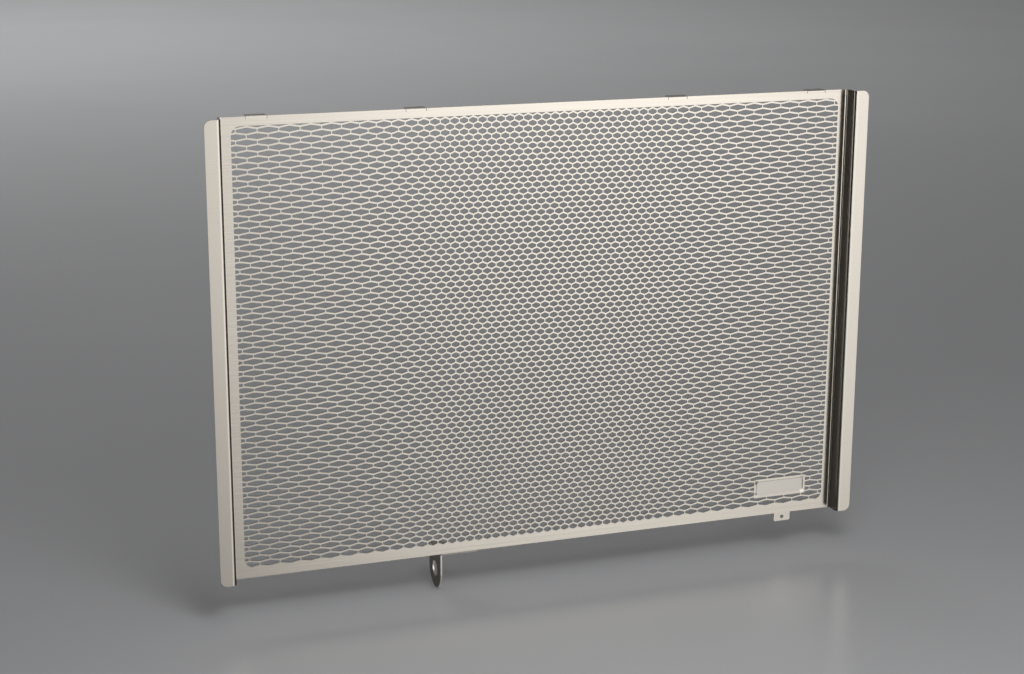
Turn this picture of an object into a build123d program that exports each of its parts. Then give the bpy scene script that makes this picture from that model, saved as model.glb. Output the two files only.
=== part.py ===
from build123d import *
import os
from math import ceil, cos, floor, radians, sin

# Sheet. The back face of the panel is y = 0 and its front looks to -Y.
SHEET = 0.8

# Bends of the side strips, and the tighter folds of the tabs and the bracket
BEND_INNER = 1.2
BEND_OUTER = BEND_INNER + SHEET
FOLD_INNER = 0.45
FOLD_OUTER = FOLD_INNER + SHEET
RELIEF = 0.3

# Panel, with a strip standing forward along each side
WIDTH = 340.0
HEIGHT = 225.0
STRIP_WIDTH = 8.0
STRIP_FORWARD = 8.1
STRIP_CORNER = 3.4

# Borders left solid round the mesh, and the radius and cut angles of its corners
SIDE_BORDER = 5.3
TOP_BORDER = 4.4
BOTTOM_BORDER = 6.0
MESH_CORNER = 4.5
MESH_CORNER_CUTS = (30, 60)

# Hexagon mesh: even columns in the middle, widening to the sides
ROW_PITCH = 9.2
MIDDLE_COLUMN = 16.4
SIDE_COLUMN = 33.0
EVEN_HALF_WIDTH = 45.0
COLUMN_TAPER = 0.31
WEB_LENGTH = 5.9
STRAND = 2.6
WEB = 1.6
LEAST_HOLE = 2.5

# Badge plate, left bare: a shallow field inside a rim
BADGE_WIDTH = 30.0
BADGE_HEIGHT = 10.2
BADGE_FROM_SIDE = 38.0
BADGE_ABOVE_EDGE = 14.9
BADGE_RIM = 1.2
BADGE_CORNER = 1.5
BADGE_SINK = 0.25

# Top tabs, bent back off the top edge
TAB_WIDTH = 9.8
TAB_DEPTH = 5.0
TAB_RISE = 0.3
TAB_FROM_SIDE = 25.8
TAB_FROM_MIDDLE = 67.5

# Bottom bracket: a flange bent back, and a bolt tongue bent down from its left end
FLANGE_LEFT = -56.6
FLANGE_WIDTH = 19.4
FLANGE_DEPTH = 20.8
FLANGE_DROP = 1.2
FLANGE_CHAMFER = 15.0
BOLT_HOLE = 8.0
BOLT_BELOW_EDGE = 11.5

# Drilled tab in the plane of the panel
EAR_WIDTH = 9.4
EAR_DROP = 4.5
EAR_FROM_SIDE = 36.0
EAR_CORNER = 0.8
TIE_HOLE = 2.0
TIE_BELOW_EDGE = 2.2

FRONT = -SHEET
TOP = HEIGHT / 2
BOTTOM = -HEIGHT / 2
WALL_X = WIDTH / 2 - STRIP_WIDTH
STRIP_FRONT = FRONT - STRIP_FORWARD
MESH_HALF_WIDTH = WALL_X - SIDE_BORDER
MESH_TOP = TOP - TOP_BORDER
MESH_BOTTOM = BOTTOM + BOTTOM_BORDER
WEB_RISE = ROW_PITCH - WEB_LENGTH
ROW_REACH = ROW_PITCH - WEB_LENGTH / 2 - STRAND / 2
BADGE_X = WIDTH / 2 - BADGE_FROM_SIDE
BADGE_Z = BOTTOM + BADGE_ABOVE_EDGE


def folded(points, radii, length):
    """Fold a sheet along a line of its outer face and centre it on that line's plane."""
    line = FilletPolyline(*points, radius=radii)
    section = make_face(offset(line, amount=SHEET, side=Side.LEFT))
    return extrude(section, length / 2, both=True)


def column_edges():
    """Web positions from the middle out, until one passes the mesh's side."""
    edges = [0.0]
    while edges[-1] < MESH_HALF_WIDTH:
        wider = MIDDLE_COLUMN + COLUMN_TAPER * (edges[-1] - EVEN_HALF_WIDTH)
        edges.append(edges[-1] + min(max(wider, MIDDLE_COLUMN), SIDE_COLUMN))
    return [-x for x in reversed(edges[1:])] + edges


def hexagon(left, middle, right, z):
    """Corners of one hole between two webs, with its tips at the webs of the next rows."""
    inset = WEB / 2
    left_shoulder = ROW_REACH - WEB_RISE * (1 - inset / (middle - left))
    right_shoulder = ROW_REACH - WEB_RISE * (1 - inset / (right - middle))
    return [
        (left + inset, z - left_shoulder),
        (middle, z - ROW_REACH),
        (right - inset, z - right_shoulder),
        (right - inset, z + right_shoulder),
        (middle, z + ROW_REACH),
        (left + inset, z + left_shoulder),
    ]


def mesh_limits():
    """Straight limits of the mesh: a direction, and how far the mesh reaches along it."""
    limits = [((0, 1), MESH_TOP), ((1, 0), MESH_HALF_WIDTH), ((-1, 0), MESH_HALF_WIDTH)]
    for turn in (radians(angle) for angle in MESH_CORNER_CUTS):
        for end, reach in ((1, MESH_TOP), (-1, -MESH_BOTTOM)):
            corner_x = (MESH_HALF_WIDTH - MESH_CORNER) * cos(turn)
            corner_z = (reach - MESH_CORNER) * sin(turn)
            for side in (1, -1):
                along = (side * cos(turn), end * sin(turn))
                limits.append((along, corner_x + corner_z + MESH_CORNER))
    return limits


def clipped(points, along, limit):
    """Part of a polygon that reaches no further than a limit along a direction."""
    result = []
    for start, end in zip(points, points[1:] + points[:1]):
        before = limit - start[0] * along[0] - start[1] * along[1]
        after = limit - end[0] * along[0] - end[1] * along[1]
        if before >= 0:
            result.append(start)
        if before * after < 0:
            share = before / (before - after)
            result.append(tuple(a + share * (b - a) for a, b in zip(start, end)))
    return result


def mesh_holes():
    """Corners of every hole: whole along the bottom, cut off at the top, sides and corners."""
    webs = column_edges()
    between = [(a + b) / 2 for a, b in zip(webs, webs[1:])]
    lowest = ceil((MESH_BOTTOM + ROW_REACH) / ROW_PITCH)
    highest = floor((MESH_TOP + ROW_REACH) / ROW_PITCH)
    holes = []
    for row in range(lowest, highest + 1):
        row_webs, tips = (between, webs[1:]) if row % 2 else (webs, between)
        for left, middle, right in zip(row_webs, tips, row_webs[1:]):
            hole = hexagon(left, middle, right, row * ROW_PITCH)
            for along, limit in mesh_limits():
                hole = clipped(hole, along, limit)
            if hole:
                holes.append(hole)
    return holes


def large_enough(face):
    size = face.bounding_box().size
    return min(size.X, size.Y) > LEAST_HOLE


# Panel and both side strips, folded from one section and rounded at the outer corners
profile = [
    (-WIDTH / 2, STRIP_FRONT),
    (-WALL_X, STRIP_FRONT),
    (-WALL_X, FRONT),
    (WALL_X, FRONT),
    (WALL_X, STRIP_FRONT),
    (WIDTH / 2, STRIP_FRONT),
]
guard = folded(profile, [BEND_OUTER, BEND_INNER, BEND_INNER, BEND_OUTER], HEIGHT)
corners = guard.edges().filter_by(Axis.Y).group_by(Axis.X)
guard = fillet(corners[0] + corners[-1], STRIP_CORNER)

# Top tabs
fold_root = FOLD_OUTER + RELIEF
tab_top = TOP + TAB_RISE
tab_root = tab_top - fold_root
tab_line = [(FRONT + TAB_DEPTH, tab_top), (FRONT, tab_top), (FRONT, tab_root)]
tab = Plane.YZ * folded(tab_line, FOLD_OUTER, TAB_WIDTH)
tab_slot = Box(TAB_WIDTH + 2 * RELIEF, SHEET, TOP - tab_root)
outer_tab_x = WIDTH / 2 - TAB_FROM_SIDE
for tab_x in (-outer_tab_x, -TAB_FROM_MIDDLE, TAB_FROM_MIDDLE, outer_tab_x):
    guard -= Pos(tab_x, FRONT / 2, (TOP + tab_root) / 2) * tab_slot
    guard += Pos(tab_x, 0, 0) * tab

# Flange of the bottom bracket, with a relief left for the tongue's fold
flange_bottom = BOTTOM - FLANGE_DROP
flange_rear = FRONT + FLANGE_DEPTH
flange_line = [
    (FRONT, flange_bottom + fold_root),
    (FRONT, flange_bottom),
    (flange_rear, flange_bottom),
]
flange_x = FLANGE_LEFT + FLANGE_WIDTH / 2
flange = Plane.YZ.offset(flange_x) * folded(flange_line, FOLD_OUTER, FLANGE_WIDTH)
rear_right = flange.edges().filter_by(Axis.Z).group_by(Axis.Y)[-1].sort_by(Axis.X)[-1]
flange = chamfer(rear_right, FLANGE_CHAMFER)
tongue_front = FRONT + fold_root
tongue_width = flange_rear - tongue_front
tongue_y = (flange_rear + tongue_front) / 2
fold_slot = Box(FOLD_OUTER, FLANGE_DEPTH - FOLD_OUTER, SHEET)
fold_slot_y = flange_rear - (FLANGE_DEPTH - FOLD_OUTER) / 2
flange -= Pos(FLANGE_LEFT + FOLD_OUTER / 2, fold_slot_y, flange_bottom + SHEET / 2) * fold_slot
flange_slot = Box(FLANGE_WIDTH + 2 * RELIEF, SHEET, fold_root - FLANGE_DROP)
guard -= Pos(flange_x, FRONT / 2, BOTTOM + (fold_root - FLANGE_DROP) / 2) * flange_slot

# Bolt tongue, round at its end about the bolt hole
bolt_z = BOTTOM - BOLT_BELOW_EDGE
tongue_line = [
    (FLANGE_LEFT + fold_root, flange_bottom + SHEET),
    (FLANGE_LEFT, flange_bottom + SHEET),
    (FLANGE_LEFT, bolt_z),
]
tongue = Plane.XZ.offset(-tongue_y) * folded(tongue_line, FOLD_OUTER, tongue_width)
bolt_axis = Plane((FLANGE_LEFT + SHEET / 2, tongue_y, bolt_z), z_dir=(1, 0, 0))
tongue += bolt_axis * Cylinder(tongue_width / 2, SHEET)
tongue -= bolt_axis * Cylinder(BOLT_HOLE / 2, SHEET)
guard += flange + tongue

# Drilled tab, below the bottom edge at the right
ear_x = WIDTH / 2 - EAR_FROM_SIDE
ear = Pos(ear_x, FRONT / 2, BOTTOM - EAR_DROP / 2) * Box(EAR_WIDTH, SHEET, EAR_DROP)
ear = fillet(ear.edges().filter_by(Axis.Y).group_by(Axis.Z)[0], EAR_CORNER)
tie_axis = Plane((ear_x, FRONT / 2, BOTTOM - TIE_BELOW_EDGE), z_dir=(0, -1, 0))
guard += ear - tie_axis * Cylinder(TIE_HOLE / 2, SHEET)

# Badge field, then the mesh round the badge plate
panel_front = Plane.XZ.offset(SHEET)
badge_field = RectangleRounded(
    BADGE_WIDTH - 2 * BADGE_RIM, BADGE_HEIGHT - 2 * BADGE_RIM, BADGE_CORNER
)
guard -= extrude(panel_front * Pos(BADGE_X, BADGE_Z) * badge_field, -BADGE_SINK)
badge_plate = Pos(BADGE_X, BADGE_Z) * Rectangle(BADGE_WIDTH, BADGE_HEIGHT)
hole_faces = []
for hole in mesh_holes():
    beside_badge = make_face(Polyline(*hole, close=True)) - badge_plate
    hole_faces += [face for face in beside_badge.faces() if large_enough(face)]
guard -= [extrude(panel_front * face, -SHEET) for face in hole_faces]

os.makedirs("parts", exist_ok=True)
export_step(guard, "parts/guard_sheet.step")
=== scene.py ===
from math import ceil, cos, pi, radians, sin

import bmesh
import bpy
from mathutils import Matrix, Vector
from mathutils.geometry import delaunay_2d_cdt


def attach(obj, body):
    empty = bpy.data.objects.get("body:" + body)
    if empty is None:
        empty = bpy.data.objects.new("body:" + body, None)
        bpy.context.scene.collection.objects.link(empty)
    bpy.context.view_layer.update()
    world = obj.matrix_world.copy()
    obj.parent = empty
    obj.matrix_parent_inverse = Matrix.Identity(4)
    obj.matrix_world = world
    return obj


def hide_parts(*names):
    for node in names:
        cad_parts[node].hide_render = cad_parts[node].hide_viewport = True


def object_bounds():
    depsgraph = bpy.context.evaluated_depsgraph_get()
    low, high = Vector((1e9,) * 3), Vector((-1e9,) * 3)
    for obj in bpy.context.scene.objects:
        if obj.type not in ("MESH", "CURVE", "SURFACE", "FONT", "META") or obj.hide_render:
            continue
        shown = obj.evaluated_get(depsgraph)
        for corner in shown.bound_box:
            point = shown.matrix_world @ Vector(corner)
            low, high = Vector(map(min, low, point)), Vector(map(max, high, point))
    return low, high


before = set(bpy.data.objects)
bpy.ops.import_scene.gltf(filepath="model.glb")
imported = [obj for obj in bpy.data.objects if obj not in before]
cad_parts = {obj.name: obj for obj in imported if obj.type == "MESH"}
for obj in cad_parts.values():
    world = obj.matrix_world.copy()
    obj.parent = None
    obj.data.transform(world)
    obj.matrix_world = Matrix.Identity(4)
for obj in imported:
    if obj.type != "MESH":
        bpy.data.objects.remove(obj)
cad_low, cad_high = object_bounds()

# Sizes are in millimetres until the mesh is made. The panel's back face is y = 0.
MM = 0.001
COORDINATE_DIGITS = 4
NODE = "guard_sheet"
ETCHED = "etched"

# Sheet, with the bends of its strips and the tighter folds of its tabs and bracket
SHEET = 0.8
BEND_INNER = 1.2
BEND_OUTER = BEND_INNER + SHEET
FOLD_INNER = 0.45
FOLD_OUTER = FOLD_INNER + SHEET
BEND_SUPPORT = 0.4
RELIEF = 0.3
FOLD_ROOT = FOLD_OUTER + RELIEF

# Panel and side strips
WIDTH = 340.0
HEIGHT = 225.0
STRIP_WIDTH = 8.0
STRIP_FORWARD = 8.1
STRIP_CORNER = 3.4
FRONT = -SHEET
TOP = HEIGHT / 2
BOTTOM = -HEIGHT / 2
WALL_X = WIDTH / 2 - STRIP_WIDTH
FLAT_X = WALL_X - BEND_INNER - BEND_SUPPORT

# Mesh: even columns in the middle, widening to the sides
SIDE_BORDER = 5.3
TOP_BORDER = 4.4
BOTTOM_BORDER = 5.2
MESH_CORNER = 4.5
MESH_CORNER_CUTS = (15, 30, 45, 60, 75)
ROW_PITCH = 2.749
LOWEST_ROW_Z = -105.82
MIDDLE_COLUMN = 4.654
SIDE_COLUMN = 10.15
EVEN_HALF_WIDTH = 49.0
COLUMN_TAPER = 0.0885
MIDDLE_WEB_LENGTH = 1.72
SIDE_WEB_LENGTH = 1.92
STRAND = 0.8
WEB = 0.46
LEAST_HOLE = 0.45
MESH_OFFSET = 0.33
MESH_HALF_WIDTH = WALL_X - SIDE_BORDER
MESH_TOP = TOP - TOP_BORDER
MESH_BOTTOM = BOTTOM + BOTTOM_BORDER

# Badge plate, left bare
BADGE_WIDTH = 30.0
BADGE_HEIGHT = 10.2
BADGE_FROM_SIDE = 38.0
BADGE_ABOVE_EDGE = 14.9
BADGE_X = WIDTH / 2 - BADGE_FROM_SIDE
BADGE_Z = BOTTOM + BADGE_ABOVE_EDGE
BADGE_LEFT = BADGE_X - BADGE_WIDTH / 2
BADGE_RIGHT = BADGE_X + BADGE_WIDTH / 2
BADGE_LOW = BADGE_Z - BADGE_HEIGHT / 2
BADGE_HIGH = BADGE_Z + BADGE_HEIGHT / 2
BADGE_RIM = 1.2
BADGE_CORNER = 1.5
BADGE_SINK = 0.25
BADGE_SLOPE = 0.35

# Top tabs
TAB_WIDTH = 9.8
TAB_DEPTH = 5.0
TAB_RISE = 0.3
TAB_ROOT = TOP + TAB_RISE - FOLD_ROOT
TAB_FOLD_INNER = 0.05
TAB_FOLD_OUTER = TAB_FOLD_INNER + SHEET
TAB_FROM_SIDE = 25.8
TAB_FROM_MIDDLE = 67.5
OUTER_TAB_X = WIDTH / 2 - TAB_FROM_SIDE
TAB_PLACES = (OUTER_TAB_X, TAB_FROM_MIDDLE, -TAB_FROM_MIDDLE, -OUTER_TAB_X)

# Bottom bracket
FLANGE_LEFT = -56.6
FLANGE_WIDTH = 19.4
FLANGE_RIGHT = FLANGE_LEFT + FLANGE_WIDTH
FLANGE_DEPTH = 20.8
FLANGE_DROP = 1.2
FLANGE_CHAMFER = 15.0
FLANGE_BOTTOM = BOTTOM - FLANGE_DROP
FLANGE_REAR = FRONT + FLANGE_DEPTH
TONGUE_FOLD_X = FLANGE_LEFT + FOLD_OUTER
TONGUE_FRONT = FRONT + FOLD_ROOT
TONGUE_Y = (TONGUE_FRONT + FLANGE_REAR) / 2
TONGUE_RADIUS = (FLANGE_REAR - TONGUE_FRONT) / 2
BOLT_HOLE = 8.0
BOLT_BELOW_EDGE = 11.5
BOLT_Z = BOTTOM - BOLT_BELOW_EDGE

# Drilled tab
EAR_WIDTH = 9.4
EAR_DROP = 4.5
EAR_FROM_SIDE = 36.0
EAR_X = WIDTH / 2 - EAR_FROM_SIDE
EAR_CORNER = 0.8
TIE_HOLE = 2.0
TIE_BELOW_EDGE = 2.2
TIE_Z = BOTTOM - TIE_BELOW_EDGE

# Steps of the round stretches, and the angle in degrees above which an edge stays sharp
BEND_STEPS = 10
ARC_STEPS = 8
TONGUE_STEPS = 19
HOLE_STEPS = 40
SHARP_ANGLE = 30

# Steel: two colours of the brushing, the noise values between which they mix, and gloss
STEEL_DARK = (0.60, 0.555, 0.49)
STEEL_LIGHT = (0.72, 0.666, 0.59)
TINT_LIMITS = (0.3, 0.7)
STEEL_ROUGHNESS = 0.23
STEEL_ROUGHNESS_SPREAD = 0.05
STEEL_ANISOTROPY = 0.85

# Brushing: streaks per metre along each axis, their relief in metres, and broad changes of gloss
GRAIN_SCALE = (18.0, 900.0, 3500.0)
GRAIN_DETAIL = 4.0
GRAIN_ROUGHNESS = 0.6
STREAK_STRENGTH = 0.06
STREAK_DEPTH = 0.00005
CLOUD_SCALE = 9.0
CLOUD_DETAIL = 2.0
CLOUD_SHARE = 0.35

# Direction across the brushing, a little backward so that level faces have one too
ACROSS_BRUSHING = (0.0, 0.01, 1.0)

# Etched field of the badge plate
ETCHED_DARK = (0.54, 0.51, 0.465)
ETCHED_LIGHT = (0.70, 0.66, 0.60)
ETCHED_ROUGHNESS = 0.36
ETCHED_SCALE = 3500.0
ETCHED_DETAIL = 2.0

# Floor, in metres: its part in front of the seam is left out of the metal's reflections
FLOOR_Z = cad_low.z
FLOOR_REACH = 6.0
FLOOR_SEAM_Y = 0.06
FLOOR_ROUGHNESS = 0.26
FLOOR_DARK = (0.565, 0.57, 0.585)
FLOOR_LIGHT = (0.625, 0.63, 0.645)
MOTTLE_SCALE = 3.0
MOTTLE_DETAIL = 3.0

# Studio walls: upward part of a direction, and how bright the studio is there
WORLD_LEVELS = [(-0.66, 0.35), (-0.52, 0.012), (0.15, 0.012), (0.5, 0.15)]

# Pale backdrop behind the floor: its levels in the same way, and the backward parts of a
# direction at which it starts and is full
BACKDROP_LEVELS = [(-0.05, 0.06), (0.03, 0.4), (0.17, 0.4), (0.29, 0.0)]
BACKDROP_START = 0.6
BACKDROP_FULL = 1.0

# Soft lamps, in metres: name, place, target, width, height, radiance at the middle.
# The first ones light the metal alone, the last ones the floor alone.
METAL_LAMPS = [
    ("key", (0.530, -1.225, 0.260), (0.0, 0.0, 0.0), 2.33, 3.82, 1.78),
    ("front", (-0.20, -1.49, 0.06), (0.0, 0.0, 0.0), 0.42, 1.00, 4.4),
    ("side", (-1.32, -0.17, 0.00), (0.0, 0.0, 0.0), 0.36, 0.80, 2.6),
]
OVERHEAD_LAMP = ("overhead", (0.1, -0.5, 1.7), (0.1, -0.3, 0.0), 1.6, 1.6, 1.05)
FLOOR_LAMPS = [
    ("rear", (-0.3, 2.9, 1.9), (-0.15, 3.6, FLOOR_Z), 3.0, 3.0, 5.0),
    ("table", (-0.02, -0.45, 0.37), (-0.02, -0.40, FLOOR_Z), 0.5, 0.5, 8.0),
]

# Camera, fitted to the photograph: place in metres, angles in degrees, lens in millimetres
CAMERA_PLACE = (-0.33214, -0.87991, 0.23794)
CAMERA_YAW = 19.59
CAMERA_PITCH = -14.47
CAMERA_ROLL = 0.154
CAMERA_LENS = 68.48
CAMERA_SENSOR = 36.0


class FoldedSheet:
    """A sheet kept as faces whose corners are pairs of a front and a back point."""

    def __init__(self):
        self.faces = []

    def add(self, corners, etched=0.0):
        corners = [(rounded(front), rounded(back)) for front, back in corners]
        self.faces.append((corners, etched))

    def add_flat(self, outline, holes, place, etched=0.0):
        """A flat stretch: place turns a point of the outline into its front and back points."""
        for triangle in triangles(outline, holes):
            self.add([place(point) for point in triangle], etched)

    def add_fold(self, section, splits, place):
        """A folded stretch: a section's front and back points, carried along the splits."""
        for (f0, b0), (f1, b1) in zip(section, section[1:]):
            for s0, s1 in zip(splits, splits[1:]):
                corners = ((f0, b0, s0), (f1, b1, s0), (f1, b1, s1), (f0, b0, s1))
                self.add([(place(f, s), place(b, s)) for f, b, s in corners])

    def mesh(self, name):
        """Front and back faces, closed by walls along every edge and step of the sheet."""
        shape = bmesh.new()
        finish = shape.faces.layers.float.new(ETCHED)
        numbers = {}

        def face(points, etched=0.0):
            for point in points:
                if point not in numbers:
                    numbers[point] = shape.verts.new([c * MM for c in point])
            made = shape.faces.new([numbers[point] for point in points])
            made[finish] = etched

        edges = {}
        for corners, etched in self.faces:
            face([front for front, back in corners], etched)
            face([back for front, back in reversed(corners)])
            for (f0, b0), (f1, b1) in zip(corners, corners[1:] + corners[:1]):
                edges.setdefault(frozenset((b0, b1)), []).append({b0: f0, b1: f1})
        for ends, sides in edges.items():
            a, b = ends
            if len(sides) == 1:
                face([sides[0][a], sides[0][b], b, a])
            elif sides[0] != sides[1]:
                face([sides[0][a], sides[0][b], sides[1][b], sides[1][a]])
        bmesh.ops.recalc_face_normals(shape, faces=shape.faces)
        mesh = bpy.data.meshes.new(name)
        shape.to_mesh(mesh)
        shape.free()
        return mesh


def rounded(point):
    """A point whose coordinates are equal wherever two stretches of the sheet meet."""
    return tuple(round(c, COORDINATE_DIGITS) for c in point)


def triangles(outline, holes):
    """Triangles of a flat outline less its holes."""
    loops = [outline, *holes]
    points = [point for loop in loops for point in loop]
    numbers = iter(range(len(points)))
    faces = [[next(numbers) for point in loop] for loop in loops]
    inside_only = 1
    tolerance = 1e-5
    corners = [Vector(point) for point in points]
    _, _, made, origins, _, parents = delaunay_2d_cdt(corners, [], faces, inside_only, tolerance)
    for face, inside in zip(made, parents):
        in_outline_alone = inside == [0]
        if in_outline_alone:
            yield [points[origins[number][0]] for number in face]


def arc(centre, radius, start, end, steps):
    """Points round a centre between two angles in degrees, both ends included."""
    turns = [radians(start + (end - start) * i / steps) for i in range(steps + 1)]
    return [(centre[0] + radius * cos(a), centre[1] + radius * sin(a)) for a in turns]


def circle(centre, radius):
    return arc(centre, radius, 0, 360, HOLE_STEPS)[:-1]


def folded_section(start, heading, back_side, inner, moves):
    """Front and back points of the sheet along flats, in millimetres, and bends, in degrees.

    The back lies to the left of the heading if back_side is 1, to the right if it is -1.
    A bend above zero turns towards the back. All bends have the same inner radius.
    """
    front = Vector(start)
    along = Vector(heading)
    back = Vector((-along.y, along.x)) * back_side
    section = [(tuple(front), tuple(front + back * SHEET))]
    for kind, amount in moves:
        if kind == "flat":
            front = front + along * amount
            section.append((tuple(front), tuple(front + back * SHEET)))
            continue
        turn = 1 if amount > 0 else -1
        radius = inner + SHEET if amount > 0 else inner
        centre = front + back * turn * radius
        step = Matrix.Rotation(radians(amount) * back_side / BEND_STEPS, 2)
        for _ in range(BEND_STEPS):
            along = step @ along
            back = step @ back
            front = centre - back * turn * radius
            section.append((tuple(front), tuple(front + back * SHEET)))
    return section


def column_edges():
    """Web positions from the middle out, until one passes the mesh's side."""
    edges = [0.0]
    while edges[-1] < MESH_HALF_WIDTH:
        wider = MIDDLE_COLUMN + COLUMN_TAPER * (edges[-1] - EVEN_HALF_WIDTH)
        edges.append(edges[-1] + min(max(wider, MIDDLE_COLUMN), SIDE_COLUMN))
    both_sides = [-x for x in reversed(edges[1:])] + edges
    return [x + MESH_OFFSET for x in both_sides]


def web_length(x):
    """Webs grow a little longer from the even columns to the mesh's sides."""
    share = (abs(x) - EVEN_HALF_WIDTH) / (MESH_HALF_WIDTH - EVEN_HALF_WIDTH)
    share = min(max(share, 0.0), 1.0)
    return MIDDLE_WEB_LENGTH + (SIDE_WEB_LENGTH - MIDDLE_WEB_LENGTH) * share


def hexagon(left, middle, right, z):
    """Corners of one hole between two webs, with its tips at the webs of the next rows."""
    tip = ROW_PITCH - web_length(middle) / 2 - STRAND / 2
    shoulders = []
    for web in (left, right):
        base = web_length(web) / 2 - STRAND / 2
        shoulders.append(base + (tip - base) * WEB / 2 / abs(middle - web))
    return [
        (left + WEB / 2, z - shoulders[0]),
        (middle, z - tip),
        (right - WEB / 2, z - shoulders[1]),
        (right - WEB / 2, z + shoulders[1]),
        (middle, z + tip),
        (left + WEB / 2, z + shoulders[0]),
    ]


def mesh_limits():
    """Straight limits of the mesh: a direction, and how far the mesh reaches along it."""
    limits = [((0, 1), MESH_TOP)]
    for side in (1, -1):
        reach_x = MESH_HALF_WIDTH + side * MESH_OFFSET
        limits.append(((side, 0), reach_x))
        for turn in (radians(angle) for angle in MESH_CORNER_CUTS):
            for end, reach_z in ((1, MESH_TOP), (-1, -MESH_BOTTOM)):
                along = (side * cos(turn), end * sin(turn))
                corner_x = (reach_x - MESH_CORNER) * cos(turn)
                corner_z = (reach_z - MESH_CORNER) * sin(turn)
                limits.append((along, corner_x + corner_z + MESH_CORNER))
    return limits


def clipped(points, along, limit):
    """Part of a polygon that reaches no further than a limit along a direction."""
    result = []
    for start, end in zip(points, points[1:] + points[:1]):
        before = limit - start[0] * along[0] - start[1] * along[1]
        after = limit - end[0] * along[0] - end[1] * along[1]
        if before >= 0:
            result.append(start)
        if before * after < 0:
            share = before / (before - after)
            result.append(tuple(a + share * (b - a) for a, b in zip(start, end)))
    return result


def beside_badge(hole):
    """Parts of a hole to the left and right of the badge plate, and below and above it."""
    across = clipped(clipped(hole, (-1, 0), -BADGE_LEFT), (1, 0), BADGE_RIGHT)
    covered = clipped(clipped(across, (0, -1), -BADGE_LOW), (0, 1), BADGE_HIGH)
    if not covered:
        return [hole]
    return [
        clipped(hole, (1, 0), BADGE_LEFT),
        clipped(hole, (-1, 0), -BADGE_RIGHT),
        clipped(across, (0, 1), BADGE_LOW),
        clipped(across, (0, -1), -BADGE_HIGH),
    ]


def large_enough(hole):
    spans = [max(values) - min(values) for values in zip(*hole)]
    return bool(spans) and min(spans) > LEAST_HOLE


def mesh_holes():
    """Every hole of the mesh: whole at the bottom, cut off at its other limits and the badge."""
    webs = column_edges()
    between = [(a + b) / 2 for a, b in zip(webs, webs[1:])]
    limits = mesh_limits()
    holes = []
    for row in range(ceil((MESH_TOP - LOWEST_ROW_Z) / ROW_PITCH) + 1):
        row_webs, tips = (webs, between) if row % 2 else (between, webs[1:])
        for left, middle, right in zip(row_webs, tips, row_webs[1:]):
            hole = hexagon(left, middle, right, LOWEST_ROW_Z + row * ROW_PITCH)
            for along, limit in limits:
                hole = clipped(hole, along, limit)
            holes += [piece for piece in beside_badge(hole) if large_enough(piece)]
    return holes


def rounded_rectangle(centre, width, height, radius):
    x = width / 2 - radius
    z = height / 2 - radius
    outline = []
    for start, corner in ((0, (x, z)), (90, (-x, z)), (180, (-x, -z)), (270, (x, -z))):
        middle = (centre[0] + corner[0], centre[1] + corner[1])
        outline += arc(middle, radius, start, start + 90, ARC_STEPS)
    return outline


def panel_outline():
    """Outline of the flat panel, with the slits beside its tabs and bracket and with the ear."""
    notch = FLANGE_BOTTOM + FOLD_ROOT
    ear_left = EAR_X - EAR_WIDTH / 2
    ear_right = EAR_X + EAR_WIDTH / 2
    ear_bottom = BOTTOM - EAR_DROP
    ear_corner_z = ear_bottom + EAR_CORNER
    outline = [
        (-FLAT_X, BOTTOM),
        (FLANGE_LEFT - RELIEF, BOTTOM),
        (FLANGE_LEFT - RELIEF, notch),
        (FLANGE_LEFT, notch),
        (TONGUE_FOLD_X, notch),
        (FLANGE_RIGHT, notch),
        (FLANGE_RIGHT + RELIEF, notch),
        (FLANGE_RIGHT + RELIEF, BOTTOM),
        (ear_left, BOTTOM),
        *arc((ear_left + EAR_CORNER, ear_corner_z), EAR_CORNER, 180, 270, ARC_STEPS),
        *arc((ear_right - EAR_CORNER, ear_corner_z), EAR_CORNER, 270, 360, ARC_STEPS),
        (ear_right, BOTTOM),
        (FLAT_X, BOTTOM),
        (FLAT_X, TOP),
    ]
    for x in TAB_PLACES:
        outline += [
            (x + TAB_WIDTH / 2 + RELIEF, TOP),
            (x + TAB_WIDTH / 2 + RELIEF, TAB_ROOT),
            (x + TAB_WIDTH / 2, TAB_ROOT),
            (x - TAB_WIDTH / 2, TAB_ROOT),
            (x - TAB_WIDTH / 2 - RELIEF, TAB_ROOT),
            (x - TAB_WIDTH / 2 - RELIEF, TOP),
        ]
    return outline + [(-FLAT_X, TOP)]


def add_panel(sheet):
    """The flat panel with its mesh, and the badge plate's sunk field."""
    field_edge, field = (
        rounded_rectangle(
            (BADGE_X, BADGE_Z),
            BADGE_WIDTH - 2 * inset,
            BADGE_HEIGHT - 2 * inset,
            BADGE_CORNER,
        )
        for inset in (BADGE_RIM, BADGE_RIM + BADGE_SLOPE)
    )
    tie = circle((EAR_X, TIE_Z), TIE_HOLE / 2)

    def on_panel(point):
        x, z = point
        return (x, FRONT, z), (x, 0.0, z)

    def on_field(point):
        x, z = point
        return (x, FRONT + BADGE_SINK, z), (x, 0.0, z)

    sheet.add_flat(panel_outline(), [*mesh_holes(), tie, field_edge], on_panel)
    sheet.add_flat(field, [], on_field, etched=1.0)
    rings = [zip(loop, loop[1:] + loop[:1]) for loop in (field_edge, field)]
    for (edge_start, edge_end), (start, end) in zip(*rings):
        corners = [on_panel(edge_start), on_panel(edge_end), on_field(end), on_field(start)]
        sheet.add(corners, etched=1.0)


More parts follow.
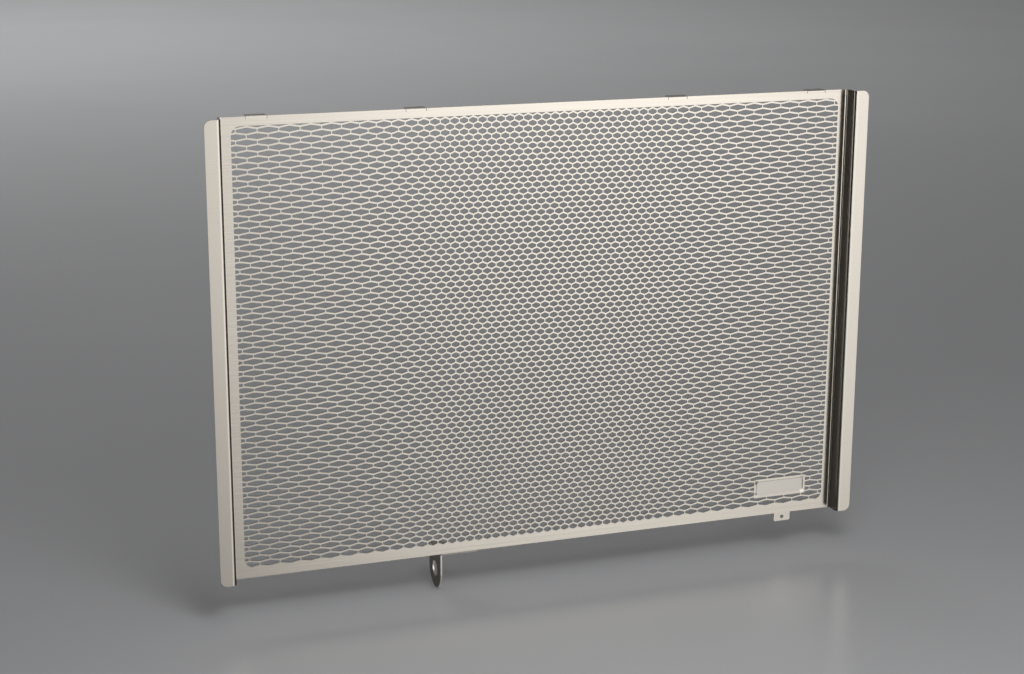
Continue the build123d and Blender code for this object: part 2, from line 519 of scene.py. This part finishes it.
def add_side(sheet, side):
    """The wall and strip along one side; side is 1 at the right, -1 at the left."""
    wall = STRIP_FORWARD - BEND_OUTER - BEND_INNER
    moves = [
        ("flat", BEND_SUPPORT),
        ("bend", -90),
        ("flat", BEND_SUPPORT),
        ("flat", wall - 2 * BEND_SUPPORT),
        ("flat", BEND_SUPPORT),
        ("bend", 90),
        ("flat", BEND_SUPPORT),
    ]
    section = folded_section((side * FLAT_X, FRONT), (side, 0), side, BEND_INNER, moves)
    sheet.add_fold(section, (BOTTOM, TOP), lambda point, z: (*point, z))
    inner = WALL_X + BEND_OUTER + BEND_SUPPORT
    corner_x = WIDTH / 2 - STRIP_CORNER
    lower = arc((corner_x, BOTTOM + STRIP_CORNER), STRIP_CORNER, 270, 360, ARC_STEPS)
    upper = arc((corner_x, TOP - STRIP_CORNER), STRIP_CORNER, 0, 90, ARC_STEPS)
    strip = [(inner, BOTTOM), *lower, *upper, (inner, TOP)]

    def on_strip(point):
        x, z = point
        return (side * x, FRONT - STRIP_FORWARD, z), (side * x, -STRIP_FORWARD, z)

    sheet.add_flat(strip, [], on_strip)


def add_tab(sheet, x):
    """One tab bent back off the top edge."""
    moves = [
        ("flat", FOLD_ROOT - TAB_FOLD_OUTER),
        ("bend", 90),
        ("flat", BEND_SUPPORT),
        ("flat", TAB_DEPTH - TAB_FOLD_OUTER - BEND_SUPPORT),
    ]
    section = folded_section((FRONT, TAB_ROOT), (0, 1), -1, TAB_FOLD_INNER, moves)
    ends = (x - TAB_WIDTH / 2, x + TAB_WIDTH / 2)
    sheet.add_fold(section, ends, lambda point, end: (end, *point))


def add_bracket(sheet):
    """The flange bent back off the bottom edge and the bolt tongue bent down from it."""
    moves = [("flat", RELIEF), ("bend", 90)]
    start = (FRONT, FLANGE_BOTTOM + FOLD_ROOT)
    section = folded_section(start, (0, -1), 1, FOLD_INNER, moves)
    splits = (FLANGE_LEFT, TONGUE_FOLD_X, FLANGE_RIGHT)
    sheet.add_fold(section, splits, lambda point, x: (x, *point))

    flange_front = FRONT + FOLD_OUTER
    support_x = TONGUE_FOLD_X + BEND_SUPPORT
    flange = [
        (TONGUE_FOLD_X, flange_front),
        (FLANGE_RIGHT, flange_front),
        (FLANGE_RIGHT, FLANGE_REAR - FLANGE_CHAMFER),
        (FLANGE_RIGHT - FLANGE_CHAMFER, FLANGE_REAR),
        (support_x, FLANGE_REAR),
        (support_x, TONGUE_FRONT),
        (TONGUE_FOLD_X, TONGUE_FRONT),
    ]

    def on_flange(point):
        return (*point, FLANGE_BOTTOM), (*point, FLANGE_BOTTOM + SHEET)

    sheet.add_flat(flange, [], on_flange)

    moves = [("flat", BEND_SUPPORT), ("bend", -90), ("flat", BEND_SUPPORT)]
    start = (support_x, FLANGE_BOTTOM)
    section = folded_section(start, (-1, 0), -1, FOLD_INNER, moves)
    ends = (TONGUE_FRONT, FLANGE_REAR)
    sheet.add_fold(section, ends, lambda point, y: (point[0], y, point[1]))

    tongue_top = FLANGE_BOTTOM - FOLD_INNER - BEND_SUPPORT
    tongue = [
        (FLANGE_REAR, tongue_top),
        (TONGUE_FRONT, tongue_top),
        *arc((TONGUE_Y, BOLT_Z), TONGUE_RADIUS, 180, 360, TONGUE_STEPS),
    ]
    bolt = circle((TONGUE_Y, BOLT_Z), BOLT_HOLE / 2)

    def on_tongue(point):
        return (FLANGE_LEFT + SHEET, *point), (FLANGE_LEFT, *point)

    sheet.add_flat(tongue, [bolt], on_tongue)


def make_guard():
    """The whole guard as one folded sheet in place of its CAD solid."""
    sheet = FoldedSheet()
    add_panel(sheet)
    for side in (-1, 1):
        add_side(sheet, side)
    for x in TAB_PLACES:
        add_tab(sheet, x)
    add_bracket(sheet)
    mesh = sheet.mesh("guard")
    mesh.shade_smooth()
    mesh.set_sharp_from_angle(angle=radians(SHARP_ANGLE))
    guard = bpy.data.objects.new("guard", mesh)
    bpy.context.scene.collection.objects.link(guard)
    return guard


def node(tree, kind, **values):
    """A shader node with its inputs set by name, underscores standing for spaces."""
    made = tree.nodes.new(kind)
    for name, value in values.items():
        made.inputs[name.replace("_", " ")].default_value = value
    return made


def noise(tree, position, **values):
    """Values of a noise at a position."""
    made = node(tree, "ShaderNodeTexNoise", **values)
    tree.links.new(position, made.inputs["Vector"])
    return made.outputs["Fac"]


def tint(tree, value, dark, light, limits=(0.0, 1.0)):
    """A colour that goes from dark to light as a value goes from one limit to the other."""
    ramp = tree.nodes.new("ShaderNodeValToRGB")
    for stop, limit, colour in zip(ramp.color_ramp.elements, limits, (dark, light)):
        stop.position = limit
        stop.color = (*colour, 1.0)
    tree.links.new(value, ramp.inputs["Fac"])
    return ramp.outputs["Color"]


def steel_colour(tree, grain, frost, etched):
    """Streaks of the brushing, and an even frost where the sheet is etched."""
    colour = tree.nodes.new("ShaderNodeMixRGB")
    brushed_tint = tint(tree, grain, STEEL_DARK, STEEL_LIGHT, TINT_LIMITS)
    etched_tint = tint(tree, frost, ETCHED_DARK, ETCHED_LIGHT, TINT_LIMITS)
    tree.links.new(etched, colour.inputs["Fac"])
    tree.links.new(brushed_tint, colour.inputs["Color1"])
    tree.links.new(etched_tint, colour.inputs["Color2"])
    return colour.outputs["Color"]


def steel_roughness(tree, grain, cloud, etched):
    """Gloss that changes with the brushing, and is even where the sheet is etched."""
    blend = node(tree, "ShaderNodeMix", Factor=CLOUD_SHARE)
    brushed = node(
        tree,
        "ShaderNodeMapRange",
        To_Min=STEEL_ROUGHNESS - STEEL_ROUGHNESS_SPREAD,
        To_Max=STEEL_ROUGHNESS + STEEL_ROUGHNESS_SPREAD,
    )
    finish = node(tree, "ShaderNodeMapRange", To_Max=ETCHED_ROUGHNESS)
    tree.links.new(grain, blend.inputs["A"])
    tree.links.new(cloud, blend.inputs["B"])
    tree.links.new(blend.outputs["Result"], brushed.inputs["Value"])
    tree.links.new(etched, finish.inputs["Value"])
    tree.links.new(brushed.outputs["Result"], finish.inputs["To Min"])
    return finish.outputs["Result"]


def hairline_steel():
    """Stainless sheet brushed along the width: fine streaks in colour, gloss and relief."""
    material = bpy.data.materials.new("hairline_stainless")
    material.use_nodes = True
    tree = material.node_tree
    shader = tree.nodes["Principled BSDF"]
    shader.inputs["Metallic"].default_value = 1.0
    shader.inputs["Anisotropic"].default_value = STEEL_ANISOTROPY

    position = tree.nodes.new("ShaderNodeTexCoord").outputs["Object"]
    drawn_out = node(tree, "ShaderNodeMapping", Scale=GRAIN_SCALE)
    tree.links.new(position, drawn_out.inputs["Vector"])
    streaks = drawn_out.outputs["Vector"]
    grain = noise(tree, streaks, Scale=1.0, Detail=GRAIN_DETAIL, Roughness=GRAIN_ROUGHNESS)
    cloud = noise(tree, position, Scale=CLOUD_SCALE, Detail=CLOUD_DETAIL)
    frost = noise(tree, position, Scale=ETCHED_SCALE, Detail=ETCHED_DETAIL)
    finish = tree.nodes.new("ShaderNodeAttribute")
    finish.attribute_name = ETCHED
    etched = finish.outputs["Fac"]

    relief = node(tree, "ShaderNodeBump", Strength=STREAK_STRENGTH, Distance=STREAK_DEPTH)
    tree.links.new(grain, relief.inputs["Height"])
    x, y, z = ACROSS_BRUSHING
    across = node(tree, "ShaderNodeCombineXYZ", X=x, Y=y, Z=z)

    tree.links.new(steel_colour(tree, grain, frost, etched), shader.inputs["Base Color"])
    tree.links.new(steel_roughness(tree, grain, cloud, etched), shader.inputs["Roughness"])
    tree.links.new(relief.outputs["Normal"], shader.inputs["Normal"])
    tree.links.new(across.outputs["Vector"], shader.inputs["Tangent"])
    return material


def floor_paint():
    """Pale satin floor with a faint mottle."""
    material = bpy.data.materials.new("floor_paint")
    material.use_nodes = True
    tree = material.node_tree
    shader = tree.nodes["Principled BSDF"]
    shader.inputs["Roughness"].default_value = FLOOR_ROUGHNESS
    position = tree.nodes.new("ShaderNodeTexCoord").outputs["Object"]
    mottle = noise(tree, position, Scale=MOTTLE_SCALE, Detail=MOTTLE_DETAIL)
    tree.links.new(tint(tree, mottle, FLOOR_DARK, FLOOR_LIGHT), shader.inputs["Base Color"])
    return material


def make_floor(name, front, back, paint):
    """A stretch of floor at the level of the guard's lowest point."""
    corners = [
        (-FLOOR_REACH, front, FLOOR_Z),
        (FLOOR_REACH, front, FLOOR_Z),
        (FLOOR_REACH, back, FLOOR_Z),
        (-FLOOR_REACH, back, FLOOR_Z),
    ]
    mesh = bpy.data.meshes.new(name)
    mesh.from_pydata(corners, [], [(0, 1, 2, 3)])
    mesh.materials.append(paint)
    floor = bpy.data.objects.new(name, mesh)
    bpy.context.scene.collection.objects.link(floor)
    return floor


def softbox(name, place, target, width, height, radiance):
    """An area light that fades from its middle to its rim, aimed at a point, itself unseen."""
    light = bpy.data.lights.new(name, "AREA")
    light.shape = "RECTANGLE"
    light.size = width
    light.size_y = height
    light.energy = radiance * pi * width * height
    light.use_nodes = True
    tree = light.node_tree
    where = tree.nodes.new("ShaderNodeNewGeometry")
    # Across the lamp this position runs from 0 to 1, and centred from -1 to 1
    centred = node(tree, "ShaderNodeMapping", Location=(-1, -1, 0), Scale=(2, 2, 1))
    rim = tree.nodes.new("ShaderNodeTexGradient")
    rim.gradient_type = "SPHERICAL"
    fade = tree.nodes.new("ShaderNodeMapRange")
    fade.interpolation_type = "SMOOTHSTEP"
    tree.links.new(where.outputs["Parametric"], centred.inputs["Vector"])
    tree.links.new(centred.outputs["Vector"], rim.inputs["Vector"])
    tree.links.new(rim.outputs["Fac"], fade.inputs["Value"])
    tree.links.new(fade.outputs["Result"], tree.nodes["Emission"].inputs["Strength"])
    box = bpy.data.objects.new(name, light)
    box.location = place
    aim = Vector(target) - Vector(place)
    box.rotation_euler = aim.to_track_quat("-Z", "Y").to_euler()
    box.visible_camera = False
    bpy.context.scene.collection.objects.link(box)
    return box


def level_ramp(tree, levels):
    """Greys over the upward part of a direction, which is fed in from 0 at -1 to 1 at 1."""
    ramp = tree.nodes.new("ShaderNodeValToRGB")
    stops = ramp.color_ramp.elements
    while len(stops) < len(levels):
        stops.new(1.0)
    for stop, (z, grey) in zip(stops, levels):
        stop.position = (z + 1.0) / 2.0
        stop.color = (grey, grey, grey, 1.0)
    return ramp


def make_world():
    """Studio walls: pale above, dim round the level, pale below, with a pale backdrop behind."""
    world = bpy.data.worlds.new("studio")
    bpy.context.scene.world = world
    world.use_nodes = True
    tree = world.node_tree
    direction = tree.nodes.new("ShaderNodeTexCoord").outputs["Generated"]
    split = tree.nodes.new("ShaderNodeSeparateXYZ")
    level = node(tree, "ShaderNodeMapRange", From_Min=-1.0)
    behind = node(tree, "ShaderNodeMapRange", From_Min=BACKDROP_START, From_Max=BACKDROP_FULL)
    walls = level_ramp(tree, WORLD_LEVELS)
    backdrop = level_ramp(tree, BACKDROP_LEVELS)
    both = tree.nodes.new("ShaderNodeMath")
    both.operation = "MULTIPLY_ADD"
    tree.links.new(direction, split.inputs["Vector"])
    tree.links.new(split.outputs["Z"], level.inputs["Value"])
    tree.links.new(split.outputs["Y"], behind.inputs["Value"])
    tree.links.new(level.outputs["Result"], walls.inputs["Fac"])
    tree.links.new(level.outputs["Result"], backdrop.inputs["Fac"])
    factor, share, addend = both.inputs
    tree.links.new(backdrop.outputs["Color"], factor)
    tree.links.new(behind.outputs["Result"], share)
    tree.links.new(walls.outputs["Color"], addend)
    tree.links.new(both.outputs["Value"], tree.nodes["Background"].inputs["Color"])


def make_camera():
    """The photograph's viewpoint."""
    yaw, pitch, roll = (radians(angle) for angle in (CAMERA_YAW, CAMERA_PITCH, CAMERA_ROLL))
    ahead = Vector((sin(yaw) * cos(pitch), cos(yaw) * cos(pitch), sin(pitch)))
    level = Vector((cos(yaw), -sin(yaw), 0.0))
    upright = level.cross(ahead)
    right = level * cos(roll) + upright * sin(roll)
    up = right.cross(ahead)
    lens = bpy.data.cameras.new("camera")
    lens.lens = CAMERA_LENS
    lens.sensor_width = CAMERA_SENSOR
    camera = bpy.data.objects.new("camera", lens)
    turn = Matrix((right, up, -ahead)).transposed()
    camera.matrix_world = Matrix.Translation(CAMERA_PLACE) @ turn.to_4x4()
    bpy.context.scene.collection.objects.link(camera)
    bpy.context.scene.camera = camera


bpy.context.scene.view_settings.view_transform = "Standard"

# Guard
guard = make_guard()
guard.data.materials.append(hairline_steel())
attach(guard, "root")
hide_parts(NODE)

# Floor and studio. The metal mirrors lamps that reach below the floor, so the floor's front
# part neither shows in the metal nor stops their light.
paint = floor_paint()
make_floor("floor", FLOOR_SEAM_Y, FLOOR_REACH, paint)
front_floor = make_floor("front_floor", -FLOOR_REACH, FLOOR_SEAM_Y, paint)
front_floor.visible_glossy = False
front_floor.visible_shadow = False
make_world()

# Lamps
metal = bpy.data.collections.new("metal")
metal.objects.link(guard)
for lamp in METAL_LAMPS:
    softbox(*lamp).light_linking.receiver_collection = metal
softbox(*OVERHEAD_LAMP)
for lamp in FLOOR_LAMPS:
    softbox(*lamp).visible_glossy = False

make_camera()
